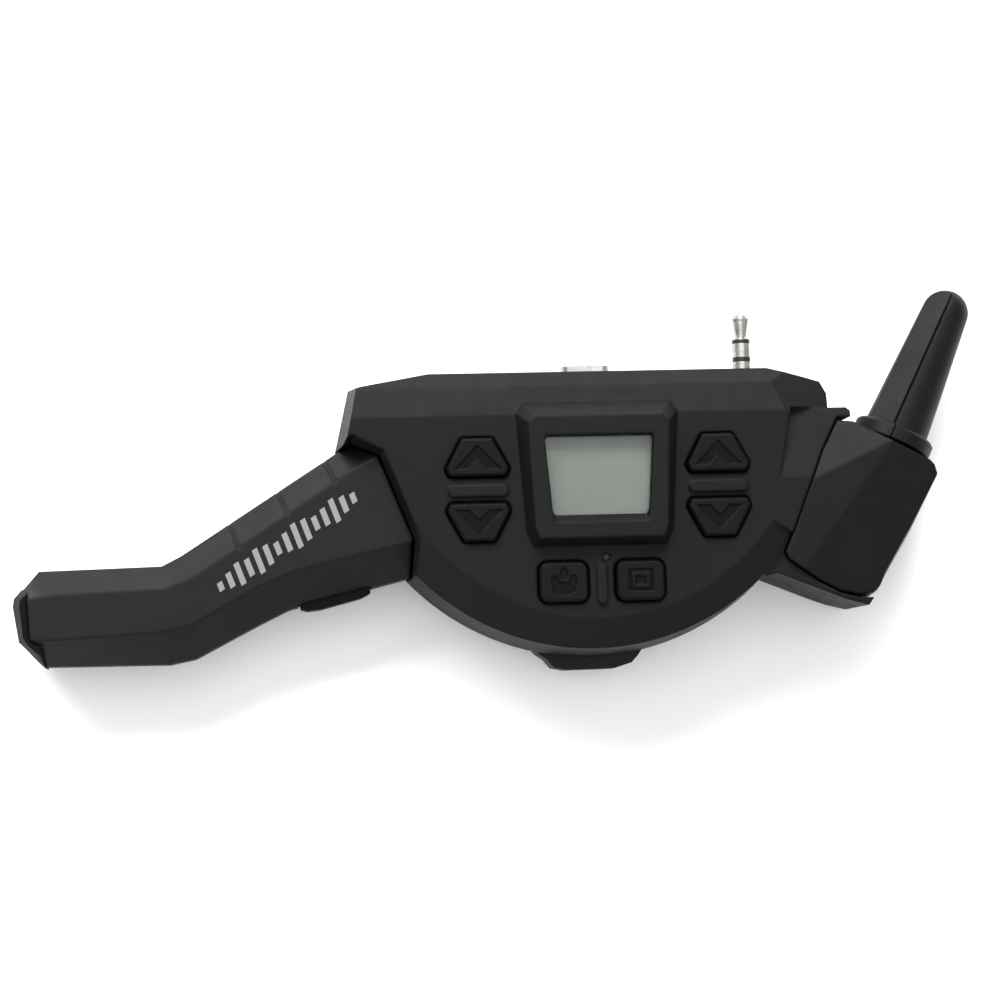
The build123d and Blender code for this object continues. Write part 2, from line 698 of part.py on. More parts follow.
def function_key(side):
    """A private function key without its mark."""
    with BuildPart() as key:
        add(key_solid(function_outline(side, 0), 2.0, KEY_GAP, KEY_FLANGE_Z, KEY_TOP_Z))
        chamfer(key.edges().group_by(Axis.Z)[-1], length=0.45)
        flange_z = INNER_FRONT_Z - 0.05
        add(key_solid(function_outline(side, 0), 2.0, -0.9, KEY_FLANGE_Z, flange_z))
        add(posts([(side * FUNCTION_X, FUNCTION_Y)], 1.6, POST_TIP_Z, KEY_FLANGE_Z))
    return key.part


MARK_LOW_Z = KEY_TOP_Z - 0.35
with BuildPart() as track_key:
    add(function_key(-1))
    with BuildSketch(Plane.XY.offset(MARK_LOW_Z)):
        with Locations((-FUNCTION_X, FUNCTION_Y + 1.5)):
            Ellipse(0.75, 1.15)
        with Locations(*[(-FUNCTION_X + side * 1.7, FUNCTION_Y + 0.2) for side in (-1, 1)]):
            Ellipse(0.75, 1.05)
        with Locations((-FUNCTION_X, FUNCTION_Y - 1.3)):
            Ellipse(2.2, 1.25)
    extrude(amount=1, mode=Mode.SUBTRACT)
track_key.part.label = "track_key"
export_step(track_key.part, "parts/track_key.step")

with BuildPart() as square_key:
    add(function_key(1))
    with BuildSketch(Plane.XY.offset(MARK_LOW_Z)):
        with Locations((FUNCTION_X, FUNCTION_Y)):
            Rectangle(4.6, 4.2)
            Rectangle(3.4, 3.0, mode=Mode.SUBTRACT)
            Rectangle(1.9, 1.6)
    extrude(amount=1, mode=Mode.SUBTRACT)
square_key.part.label = "square_key"
export_step(square_key.part, "parts/square_key.step")

with BuildPart() as light_pipe:
    add(posts([(LIGHT_X, LIGHT_Y)], 0.7, BOARD_Z + BOARD_T + 0.8, FRONT_Z + 0.15))
    fillet(light_pipe.edges().group_by(Axis.Z)[-1], radius=0.3)
light_pipe.part.label = "light_pipe"
export_step(light_pipe.part, "parts/light_pipe.step")

# -------------------------------------------------------------------- battery
with BuildPart() as battery_door:
    add(prism(DOOR, 0, DOOR_T))
    with Locations((0, HINGE_Y, HINGE_Z)):
        Box(51.0, 3.0, 4.0, mode=Mode.SUBTRACT)
        Cylinder(1.3, 50.6, rotation=(0, 90, 0))
    with Locations((0, HINGE_Y - 1.45, 0)):
        Box(50.6, 1.5, DOOR_T, align=(Align.CENTER, Align.CENTER, Align.MIN))
        Box(50.6, 1.0, DOOR_T, align=(Align.CENTER, Align.MIN, Align.MIN))
    with Locations((0, HINGE_Y, HINGE_Z)):
        Cylinder(HINGE_R + 0.05, 60, rotation=(0, 90, 0), mode=Mode.SUBTRACT)
    with BuildSketch(Plane.XY):
        with Locations((0, -21.4), (0, -23.0), (0, -24.6)):
            SlotOverall(13.0, 0.8)
    extrude(amount=0.5, mode=Mode.SUBTRACT)
battery_door.part.label = "battery_door"
export_step(battery_door.part, "parts/battery_door.step")

with BuildPart() as door_pin:
    with Locations((0, HINGE_Y, HINGE_Z)):
        Cylinder(HINGE_R, 51.4, rotation=(0, 90, 0))
door_pin.part.label = "door_pin"
export_step(door_pin.part, "parts/door_pin.step")

SPRING_Z = 8.0
with BuildPart() as battery_latch:
    add(prism(LATCH, LATCH_LOW_Z, LATCH_HIGH_Z))
    with BuildSketch(Plane((LATCH_X, -30.2, SPRING_Z), z_dir=(0, -1, 0))):
        Circle(1.9)
    extrude(amount=3.0, mode=Mode.SUBTRACT)
battery_latch.part.label = "battery_latch"
export_step(battery_latch.part, "parts/battery_latch.step")


def coil(turns, radius, wire_r, length, plane):
    """A private open coil that starts on a plane and runs along its normal."""
    with BuildPart() as spring:
        with BuildLine():
            path = Helix(length / turns, length, radius)
        with BuildSketch(Plane(origin=path @ 0, z_dir=path % 0)):
            Circle(wire_r)
        sweep()
    return plane.location * spring.part


with BuildPart() as latch_spring:
    base = Plane((LATCH_X, LATCH_WALL_Y - 0.25, SPRING_Z), z_dir=(0, -1, 0))
    add(coil(4, 1.3, 0.2, 3.1, base))
latch_spring.part.label = "latch_spring"
export_step(latch_spring.part, "parts/latch_spring.step")

CELL_WAYS = [1, -1, 1]  # side of the button end
NUB_L = 0.8
with BuildPart() as battery_cells:
    for y, way in zip(CELL_Y, CELL_WAYS):
        with BuildSketch(Plane((-way * CELL_L / 2, y, CELL_Z), z_dir=(way, 0, 0))):
            Circle(CELL_R)
        extrude(amount=CELL_L - NUB_L)
        with BuildSketch(Plane((way * (CELL_L / 2 - NUB_L), y, CELL_Z), z_dir=(way, 0, 0))):
            Circle(1.9)
        extrude(amount=NUB_L)
battery_cells.part.label = "battery_cells"
export_step(battery_cells.part, "parts/battery_cells.step")

PLATE_X = BAY_X - 0.4
with BuildPart() as battery_springs:
    for y, way in zip(CELL_Y, CELL_WAYS):
        start = Plane((-way * (PLATE_X - 0.32), y, CELL_Z), z_dir=(way, 0, 0))
        add(coil(3, 2.6, 0.3, PLATE_X - CELL_L / 2 - 0.64, start))
battery_springs.part.label = "battery_springs"
export_step(battery_springs.part, "parts/battery_springs.step")

PLATES = [(-1, CELL_Y[0], CELL_Y[0]), (-1, CELL_Y[1], CELL_Y[2])]
PLATES = PLATES + [(1, CELL_Y[0], CELL_Y[1]), (1, CELL_Y[2], CELL_Y[2])]
with BuildPart() as battery_plates:
    for side, low_y, high_y in PLATES:
        with Locations((side * (PLATE_X + 0.2), (low_y + high_y) / 2, CELL_Z)):
            Box(0.4, high_y - low_y + 8.4, 8.4)
    for y, way in zip(CELL_Y, CELL_WAYS):
        with Locations((way * (PLATE_X + CELL_L / 2) / 2, y, CELL_Z)):
            Box(PLATE_X - CELL_L / 2, 3.0, 3.0)
battery_plates.part.label = "battery_plates"
export_step(battery_plates.part, "parts/battery_plates.step")

# ----------------------------------------------------------------------- grip
EDGE_ANGLE = 13.2  # direction of the lower edge of the grip at the trigger
TRIGGER_X, TRIGGER_Y = -48.95, -20.1  # middle of the trigger, on that edge
TRIGGER_LOW_Z, TRIGGER_HIGH_Z = 8.2, 15.8


def at_trigger(points):
    """Points given along and inwards from the lower edge, in the part frame."""
    c, s = cos(radians(EDGE_ANGLE)), sin(radians(EDGE_ANGLE))
    return [(TRIGGER_X + c * u - s * v, TRIGGER_Y + s * u + c * v) for u, v in points]


def boxed(half_w, low_v, high_v, mid_u=0):
    """Corners of a rectangle at the trigger."""
    low_u, high_u = mid_u - half_w, mid_u + half_w
    return at_trigger([(low_u, low_v), (high_u, low_v), (high_u, high_v), (low_u, high_v)])


TAB = at_trigger(
    [
        (-6.7, 2.6),
        (-6.7, -0.5),
        (-5.6, -1.1),
        (-3.2, -1.4),
        (4.7, -1.3),
        (6.4, -0.9),
        (6.8, 0.4),
        (6.8, 2.6),
    ]
)
trigger_slot = prism(boxed(7.1, -3, 3), TRIGGER_LOW_Z - 0.3, TRIGGER_HIGH_Z + 0.3)
trigger_room = prism(boxed(9.0, 2.0, 8.6), TRIGGER_LOW_Z - 0.4, TRIGGER_HIGH_Z + 0.4)

CAP_SPIGOT = [(-107.0, -25.0), (-103.2, -25.0), (-103.2, -21.2), (-107.0, -21.2)]
GROOVES = [
    ((-68.5, -5.9), (-67.0, -10.5)),
    ((-59.4, -0.2), (-57.7, -4.5)),
    ((-50.6, 5.4), (-48.8, 1.2)),
]
GRIP_WALL = 2.1
GRIP_BOSS_R = 2.4
with BuildPart() as grip_form:
    add(frustum(GRIP_FACE, GRIP_BACK_Z, GRIP, GRIP_LOW_Z))
    add(prism(GRIP, GRIP_LOW_Z, GRIP_HIGH_Z))
    add(frustum(GRIP, GRIP_HIGH_Z, GRIP_FACE, GRIP_FRONT_Z))
    for low, high in GROOVES:
        foot = Vector(low[0], low[1], GRIP_HIGH_Z)
        run = Vector(high[0], high[1], GRIP_FRONT_Z) - foot
        with BuildSketch(Plane(origin=foot - run, z_dir=run)):
            Rectangle(0.9, 0.9, rotation=45)
        extrude(amount=3 * run.length, mode=Mode.SUBTRACT)

grip_inner = grown(GRIP_FACE, -1.0, GRIP_BACK_Z + GRIP_WALL, GRIP_FRONT_Z - GRIP_WALL)
with BuildPart() as grip_room:
    add(grip_inner)
    add(trigger_room)
    add(posts(GRIP_SCREWS, GRIP_BOSS_R, 0, 25), mode=Mode.SUBTRACT)

with BuildPart() as grip_front_shell:
    add(grip_form.part)
    split(bisect_by=Plane.XY.offset(SPLIT_Z + SPLIT_GAP), keep=Keep.TOP)
    add(grip_room.part, mode=Mode.SUBTRACT)
    add(trigger_slot, mode=Mode.SUBTRACT)
    add(prism(CAP_SPIGOT, 8.8, 15.2), mode=Mode.SUBTRACT)
    add(posts(GRIP_SCREWS, 1.05, SPLIT_Z, 18.0), mode=Mode.SUBTRACT)
    add(prism(GRIP_CABLE, SPLIT_Z, CABLE_HIGH_Z), mode=Mode.SUBTRACT)
grip_front_shell.part.label = "grip_front_shell"
export_step(grip_front_shell.part, "parts/grip_front_shell.step")

# The rear shell also carries the rib behind the trigger spring and switch.
TRIGGER_RIB = boxed(5.6, 8.4, 9.6)
with BuildPart() as grip_rear_shell:
    add(grip_form.part)
    split(bisect_by=Plane.XY.offset(SPLIT_Z - SPLIT_GAP), keep=Keep.BOTTOM)
    add(grip_room.part, mode=Mode.SUBTRACT)
    add(prism(TRIGGER_RIB, GRIP_BACK_Z + 1, SPLIT_Z + 2))
    add(trigger_slot, mode=Mode.SUBTRACT)
    add(prism(CAP_SPIGOT, 8.8, 15.2), mode=Mode.SUBTRACT)
    add(grown(TONGUE, 0.2, LINK_LOW_Z - 0.2, SPLIT_Z), mode=Mode.SUBTRACT)
    add(posts(GRIP_SCREWS, 2.1, 0, 4.2), mode=Mode.SUBTRACT)
    add(posts(GRIP_SCREWS, 1.1, 0, SPLIT_Z), mode=Mode.SUBTRACT)
grip_rear_shell.part.label = "grip_rear_shell"
export_step(grip_rear_shell.part, "parts/grip_rear_shell.step")

# End cap: widest outline and its outline at the front and back.
CAP = [
    (-104.0, -18.0),
    (-106.4, -16.9),
    (-107.2, -17.4),
    (-108.5, -18.9),
    (-108.7, -20.4),
    (-107.7, -26.9),
    (-106.4, -28.2),
    (-104.1, -30.7),
    (-102.8, -31.9),
    (-102.0, -30.0),
]
CAP_FACE = [
    (-104.6, -19.4),
    (-105.8, -18.4),
    (-106.4, -18.7),
    (-107.0, -19.5),
    (-107.1, -20.6),
    (-106.5, -26.4),
    (-105.8, -27.5),
    (-104.4, -28.9),
    (-103.6, -29.3),
    (-102.9, -27.6),
]
CAP_HIGH_Z, CAP_LOW_Z = GRIP_FRONT_Z - 0.8, GRIP_BACK_Z + 0.8
with BuildPart() as grip_end_cap:
    add(frustum(CAP_FACE, CAP_LOW_Z, CAP, GRIP_LOW_Z))
    add(prism(CAP, GRIP_LOW_Z, GRIP_HIGH_Z))
    add(frustum(CAP, GRIP_HIGH_Z, CAP_FACE, CAP_HIGH_Z))
    low_room = grown_frustum(GRIP_FACE, 0.12, GRIP_BACK_Z, GRIP, 0.12, GRIP_LOW_Z)
    add(low_room, mode=Mode.SUBTRACT)
    add(grown(GRIP, 0.12, GRIP_LOW_Z, GRIP_HIGH_Z), mode=Mode.SUBTRACT)
    high_room = grown_frustum(GRIP, 0.12, GRIP_HIGH_Z, GRIP_FACE, 0.12, GRIP_FRONT_Z)
    add(high_room, mode=Mode.SUBTRACT)
    add(prism([(-107.2, -24.8), (-103.4, -24.8), (-103.4, -21.4), (-107.2, -21.4)], 9, 15))
grip_end_cap.part.label = "grip_end_cap"
export_step(grip_end_cap.part, "parts/grip_end_cap.step")

with BuildPart() as trigger:
    add(prism(TAB, TRIGGER_LOW_Z, TRIGGER_HIGH_Z))
    add(prism(boxed(8.2, 2.1, 3.3), TRIGGER_LOW_Z + 0.2, TRIGGER_HIGH_Z - 0.2))
trigger.part.label = "trigger"
export_step(trigger.part, "parts/trigger.step")

SPRING_U, SWITCH_U = -3.6, 2.2
with BuildPart() as trigger_spring:
    foot_x, foot_y = at_trigger([(SPRING_U, 8.3)])[0]
    inward = radians(EDGE_ANGLE + 270)
    facing = Plane((foot_x, foot_y, SPLIT_Z), z_dir=(cos(inward), sin(inward), 0))
    add(coil(4, 1.4, 0.2, 3.6, facing))
trigger_spring.part.label = "trigger_spring"
export_step(trigger_spring.part, "parts/trigger_spring.step")

with BuildPart() as trigger_switch:
    add(prism(boxed(2.9, 5.4, 8.35, SWITCH_U), SPLIT_Z - 2, SPLIT_Z + 2))
    add(prism(boxed(0.8, 4.5, 5.4, SWITCH_U), SPLIT_Z - 1, SPLIT_Z + 1))
trigger_switch.part.label = "trigger_switch"
export_step(trigger_switch.part, "parts/trigger_switch.step")


def wire(points, radius):
    """A private round wire through a list of points."""
    with BuildPart() as solid:
        with BuildLine():
            path = Spline(*points)
        with BuildSketch(Plane(origin=path @ 0, z_dir=path % 0)):
            Circle(radius)
        sweep()
    return solid.part


with BuildPart() as trigger_lead:
    start_x, start_y = at_trigger([(SWITCH_U, 8.0)])[0]
    add(
        wire(
            [
                (start_x, start_y, SPLIT_Z + 3.4),
                (-44.4, -10.4, 14.2),
                (-41.6, -4.6, 13.3),
                (-37.0, -1.4, 13.2),
                (-33.0, 0.4, 13.9),
                (-31.2, 1.6, 15.6),
            ],
            0.7,
        )
    )
trigger_lead.part.label = "trigger_lead"
export_step(trigger_lead.part, "parts/trigger_lead.step")

with BuildPart() as grip_screws:
    add(screws(GRIP_SCREWS, 1.9, 2.6, 4.2, 1.0, 17.6))
grip_screws.part.label = "grip_screws"
export_step(grip_screws.part, "parts/grip_screws.step")

# -------------------------------------------------------------- radio housing
# The front falls away above one crease and to the right of another.
with BuildPart() as wing_form:
    add(prism(WING, WING_BACK_Z, WING_LEAN_Z))
    add(frustum(WING, WING_LEAN_Z, WING_FACE, WING_TOP_Z))
    chamfer(wing_form.edges().group_by(Axis.Z)[0], length=0.8)
    split(
        bisect_by=slope_plane(41.6, -0.3, WING_TOP_Z, -0.125, 0.273),
        keep=Keep.BOTTOM,
    )
    split(bisect_by=slope_plane(56.5, 6.5, WING_TOP_Z, 0.158, -0.122), keep=Keep.BOTTOM)

WING_WALL = 2.0
wing_room = grown(WING, -WING_WALL, WING_BACK_Z + WING_WALL, 20.5)
WING_BOSS_R = 2.4
with BuildPart() as wing_hollow:
    add(wing_room)
    add(posts(WING_SCREWS, WING_BOSS_R, 0, 25), mode=Mode.SUBTRACT)

aerial_axis = radians(AERIAL_ANGLE)
AERIAL = Plane(
    origin=(AERIAL_BASE[0], AERIAL_BASE[1], SPLIT_Z),
    x_dir=(0, 0, 1),
    z_dir=(cos(aerial_axis), sin(aerial_axis), 0),
)
ROOT_R, FLANGE_R = 4.0, 4.9
with BuildPart() as aerial_hole:
    Cylinder(ROOT_R + 0.15, 3.6, align=(Align.CENTER, Align.CENTER, Align.MAX))
aerial_opening = AERIAL.location * (Location((0, 0, 0.6)) * aerial_hole.part)

with BuildPart() as radio_front_shell:
    add(wing_form.part)
    split(bisect_by=Plane.XY.offset(SPLIT_Z + SPLIT_GAP), keep=Keep.TOP)
    add(wing_hollow.part, mode=Mode.SUBTRACT)
    add(aerial_opening, mode=Mode.SUBTRACT)
    add(posts(WING_SCREWS, 1.05, SPLIT_Z, 18.0), mode=Mode.SUBTRACT)
    add(prism(WING_CABLE, SPLIT_Z, CABLE_HIGH_Z), mode=Mode.SUBTRACT)
radio_front_shell.part.label = "radio_front_shell"
export_step(radio_front_shell.part, "parts/radio_front_shell.step")

RADIO_BOARD_Z, RADIO_BOARD_T = 14.6, 1.2
RADIO_POSTS = [(47.6, 3.6), (50.6, -0.6)]
with BuildPart() as radio_rear_shell:
    add(wing_form.part)
    split(bisect_by=Plane.XY.offset(SPLIT_Z - SPLIT_GAP), keep=Keep.BOTTOM)
    add(wing_hollow.part, mode=Mode.SUBTRACT)
    add(posts(RADIO_POSTS, 1.2, WING_BACK_Z + 1, RADIO_BOARD_Z))
    add(aerial_opening, mode=Mode.SUBTRACT)
    add(grown(SPAR, 0.2, LINK_LOW_Z - 0.2, SPLIT_Z), mode=Mode.SUBTRACT)
    add(posts(WING_SCREWS, 2.1, 0, 4.2), mode=Mode.SUBTRACT)
    add(posts(WING_SCREWS, 1.1, 0, SPLIT_Z), mode=Mode.SUBTRACT)
radio_rear_shell.part.label = "radio_rear_shell"
export_step(radio_rear_shell.part, "parts/radio_rear_shell.step")

RADIO_BOARD = [(43.0, -2.0), (46.8, 6.4), (51.4, 6.4), (55.4, 1.4), (52.5, -3.2)]
with BuildPart() as radio_board:
    add(prism(RADIO_BOARD, RADIO_BOARD_Z, RADIO_BOARD_Z + RADIO_BOARD_T))
    with Locations((49.6, 2.0, RADIO_BOARD_Z + RADIO_BOARD_T)):
        Box(6.0, 5.0, 1.6, align=(Align.CENTER, Align.CENTER, Align.MIN))
radio_board.part.label = "radio_board"
export_step(radio_board.part, "parts/radio_board.step")

with BuildPart() as radio_screws:
    add(screws(WING_SCREWS, 1.9, 2.6, 4.2, 1.0, 17.6))
radio_screws.part.label = "radio_screws"
export_step(radio_screws.part, "parts/radio_screws.step")

# --------------------------------------------------------------------- aerial
# Drawn along its own axis: X is towards the front and Z is outwards.
slope = radians(AERIAL_TAPER)
touch_z = AERIAL_L + AERIAL_TIP_R * sin(slope)
touch_r = AERIAL_TIP_R * cos(slope)
foot_r = touch_r + touch_z * tan(slope)
with BuildPart() as aerial_form:
    with BuildSketch(Plane.XZ):
        with BuildLine():
            Polyline(
                (touch_r, touch_z),
                (foot_r, COLLAR_GAP),
                (0, COLLAR_GAP),
                (0, AERIAL_L + AERIAL_TIP_R),
            )
            arc_mid = radians(45 + AERIAL_TAPER / 2)
            ThreePointArc(
                (0, AERIAL_L + AERIAL_TIP_R),
                (AERIAL_TIP_R * cos(arc_mid), AERIAL_L + AERIAL_TIP_R * sin(arc_mid)),
                (touch_r, touch_z),
            )
        make_face()
    revolve(axis=Axis.Z)
    with BuildSketch(Plane.XZ):
        Polygon(
            (0, COLLAR_GAP),
            (COLLAR_R, COLLAR_GAP),
            (COLLAR_R, COLLAR_L - 0.5),
            (COLLAR_R - 0.5, COLLAR_L),
            (0, COLLAR_L),
            align=None,
        )
    revolve(axis=Axis.Z)
    with Locations((0, 0, COLLAR_GAP + 0.1)):
        Cylinder(ROOT_R, 2.6, align=(Align.CENTER, Align.CENTER, Align.MAX))
    with Locations((0, 0, -2.15)):
        Cylinder(FLANGE_R, 1.0, align=(Align.CENTER, Align.CENTER, Align.MAX))
    with Locations((0, 0, -4)):
        Cylinder(1.0, 28, align=(Align.CENTER, Align.CENTER, Align.MIN), mode=Mode.SUBTRACT)

SEAM_FOOT, SEAM_TIP, SEAM_HALF = 1.8, 0.8, 0.12
seam_lean = (SEAM_FOOT - SEAM_TIP) / AERIAL_L
left_of_seam = Plane(origin=(0, -SEAM_FOOT - SEAM_HALF, 0), z_dir=(0, -1, seam_lean))
right_of_seam = Plane(origin=(0, -SEAM_FOOT + SEAM_HALF, 0), z_dir=(0, 1, -seam_lean))
facet = Plane(origin=(4.1, -2.9, 0), z_dir=(0.82, -0.57, tan(slope)))
with BuildPart() as left_half:
    add(aerial_form.part)
    split(bisect_by=left_of_seam, keep=Keep.TOP)
    with Locations((0, 0, COLLAR_L + 0.3)):
        Box(40, 40, 60, align=(Align.CENTER, Align.CENTER, Align.MIN), mode=Mode.INTERSECT)
    split(bisect_by=facet, keep=Keep.BOTTOM)
with BuildPart() as left_foot:
    add(aerial_form.part)
    split(bisect_by=left_of_seam, keep=Keep.TOP)
    with Locations((0, 0, COLLAR_L + 0.3)):
        Box(40, 40, 60, align=(Align.CENTER, Align.CENTER, Align.MAX), mode=Mode.INTERSECT)
with BuildPart() as aerial_left_half:
    add(AERIAL.location * left_half.part)
    add(AERIAL.location * left_foot.part)
aerial_left_half.part.label = "aerial_left_half"
export_step(aerial_left_half.part, "parts/aerial_left_half.step")

with BuildPart() as right_half:
    add(aerial_form.part)
    split(bisect_by=right_of_seam, keep=Keep.TOP)
with BuildPart() as aerial_right_half:
    add(AERIAL.location * right_half.part)
aerial_right_half.part.label = "aerial_right_half"
export_step(aerial_right_half.part, "parts/aerial_right_half.step")

with BuildPart() as rod:
    with Locations((0, 0, -5)):
        Cylinder(0.9, 28.8, align=(Align.CENTER, Align.CENTER, Align.MIN))
with BuildPart() as aerial_rod:
    add(AERIAL.location * rod.part)
aerial_rod.part.label = "aerial_rod"
export_step(aerial_rod.part, "parts/aerial_rod.step")

with BuildPart() as aerial_lead:
    add(wire([(56.2, 1.2, 12.0), (55.2, 1.0, 12.4), (54.0, 1.0, 13.2), (53.4, 1.0, 14.1)], 0.45))
    add(
        wire(
            [
                (46.4, 0.4, 13.8),
                (45.4, -4.0, 13.4),
                (42.0, -4.8, 13.3),
                (36.0, -4.9, 13.3),
                (33.0, -4.0, 14.2),
                (31.8, -1.0, 15.5),
            ],
            0.7,
        )
    )
aerial_lead.part.label = "aerial_lead"
export_step(aerial_lead.part, "parts/aerial_lead.step")

# --------------------------------------------------------------- 3.5 mm plug
# Drawn as half profiles: radius, and distance back from the apex.
CORE_R, LINER_R, TAIL_R = 0.5, 1.0, 1.3
PLUG_END = 17.2
JACK = Plane(origin=(JACK_X, JACK_TIP_Y, SPLIT_Z), x_dir=(1, 0, 0), z_dir=(0, -1, 0))


def turned(profile):
    """A private turned piece from a closed half profile, on the plug's axis."""
    with BuildPart() as solid:
        with BuildSketch(Plane.XZ):
            Polygon(*profile, align=None)
        revolve(axis=Axis.Z)
    return JACK.location * solid.part


def ring(outer, inner, start, end):
    """Closed half profile of a plain ring."""
    return [(inner, start), (outer, start), (outer, end), (inner, end)]


TIP = [
    (0, 0),
    (0.75, 0.05),
    (1.45, 0.6),
    (JACK_R, 1.14),
    (1.6, 1.7),
    (1.15, 4.2),
    (1.15, 4.55),
    (JACK_R, 5.05),
    (JACK_R, 5.15),
    (CORE_R, 5.15),
    (CORE_R, PLUG_END),
    (0, PLUG_END),
]
INSULATOR_STARTS = [(5.15, 5.87), (8.5, 9.4), (11.9, 12.8)]
with BuildPart() as jack_tip:
    add(turned(TIP))
jack_tip.part.label = "jack_tip"
export_step(jack_tip.part, "parts/jack_tip.step")

with BuildPart() as jack_rings:
    add(turned(ring(JACK_R, LINER_R, 5.87, 8.5)))
    add(turned(ring(JACK_R, LINER_R, 9.4, 11.9)))
jack_rings.part.label = "jack_rings"
export_step(jack_rings.part, "parts/jack_rings.step")

with BuildPart() as jack_sleeve:
    add(turned(ring(JACK_R, LINER_R, 12.8, JACK_TIP_Y - JACK_SEAT_Y)))
    add(turned(ring(TAIL_R, LINER_R, 13.0, PLUG_END - 0.6)))
jack_sleeve.part.label = "jack_sleeve"
export_step(jack_sleeve.part, "parts/jack_sleeve.step")

with BuildPart() as jack_insulators:
    add(turned(ring(LINER_R, CORE_R, 5.15, PLUG_END - 0.3)))
    for start, end in INSULATOR_STARTS:
        add(turned(ring(JACK_R, CORE_R, start, end)))
jack_insulators.part.label = "jack_insulators"
export_step(jack_insulators.part, "parts/jack_insulators.step")

with BuildPart() as jack_body:
    with Locations((31.0, JACK_SEAT_Y - 1.2, SPLIT_Z - 3.6)):
        Box(6.4, 7.4, 7.7, align=(Align.CENTER, Align.MAX, Align.MIN))
    with BuildSketch(Plane((JACK_X, JACK_SEAT_Y - 1.2, SPLIT_Z), z_dir=(0, 1, 0))):
        Circle(3.9)
    extrude(amount=1.2)
    with BuildSketch(Plane((JACK_X, JACK_SEAT_Y + 1, SPLIT_Z), z_dir=(0, 1, 0))):
        Circle(TAIL_R)
    extrude(amount=-4.7, mode=Mode.SUBTRACT)
jack_body.part.label = "jack_body"
export_step(jack_body.part, "parts/jack_body.step")

# ----------------------------------------------------------------- USB socket
with BuildPart() as usb_shell:
    with BuildSketch(Plane((USB_X, USB_IN_Y, SPLIT_Z), x_dir=(1, 0, 0), z_dir=(0, 1, 0))):
        SlotOverall(USB_W, USB_H)
    extrude(amount=USB_OUT_Y - USB_IN_Y)
    inside = Plane((USB_X, USB_IN_Y + 0.3, SPLIT_Z), x_dir=(1, 0, 0), z_dir=(0, 1, 0))
    with BuildSketch(inside):
        SlotOverall(USB_W - 0.6, USB_H - 0.6)
    extrude(amount=10, mode=Mode.SUBTRACT)
    with Locations((USB_X - 3.2, USB_IN_Y + 0.7, 13.4), (USB_X + 3.2, USB_IN_Y + 0.7, 13.4)):
        Box(0.9, 0.8, BOARD_Z - 13.4, align=(Align.CENTER, Align.CENTER, Align.MIN))
usb_shell.part.label = "usb_shell"
export_step(usb_shell.part, "parts/usb_shell.step")

with BuildPart() as usb_tongue:
    with Locations((USB_X, USB_IN_Y + 0.3, SPLIT_Z)):
        Box(6.6, 5.6, 0.7, align=(Align.CENTER, Align.MIN, Align.CENTER))
        Box(7.0, 1.2, 2.3, align=(Align.CENTER, Align.MIN, Align.CENTER))
usb_tongue.part.label = "usb_tongue"
export_step(usb_tongue.part, "parts/usb_tongue.step")
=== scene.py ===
import json
import math
import bpy
import bmesh
from mathutils import Matrix, Vector


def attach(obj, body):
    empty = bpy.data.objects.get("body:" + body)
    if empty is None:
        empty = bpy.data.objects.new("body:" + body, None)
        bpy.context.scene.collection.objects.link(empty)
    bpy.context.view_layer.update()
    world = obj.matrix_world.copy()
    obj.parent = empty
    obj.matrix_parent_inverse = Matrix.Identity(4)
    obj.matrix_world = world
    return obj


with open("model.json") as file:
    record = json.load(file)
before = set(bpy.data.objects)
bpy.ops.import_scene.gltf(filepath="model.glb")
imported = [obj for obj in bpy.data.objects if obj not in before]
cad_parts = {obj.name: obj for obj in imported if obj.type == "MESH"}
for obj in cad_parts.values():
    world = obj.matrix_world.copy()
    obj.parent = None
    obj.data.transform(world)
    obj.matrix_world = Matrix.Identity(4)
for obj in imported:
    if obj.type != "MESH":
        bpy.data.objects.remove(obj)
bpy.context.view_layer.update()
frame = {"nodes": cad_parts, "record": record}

NODES = frame["nodes"]
MM = 0.001
DOT_PITCH_MM = 0.42  # of the display's cells
KEY_MARK_MM = (26.45, 26.62)  # heights between the key marks and the key tops
PRINT_MM = (21.99, 22.04)  # bottom and top of the print, on the grip's front


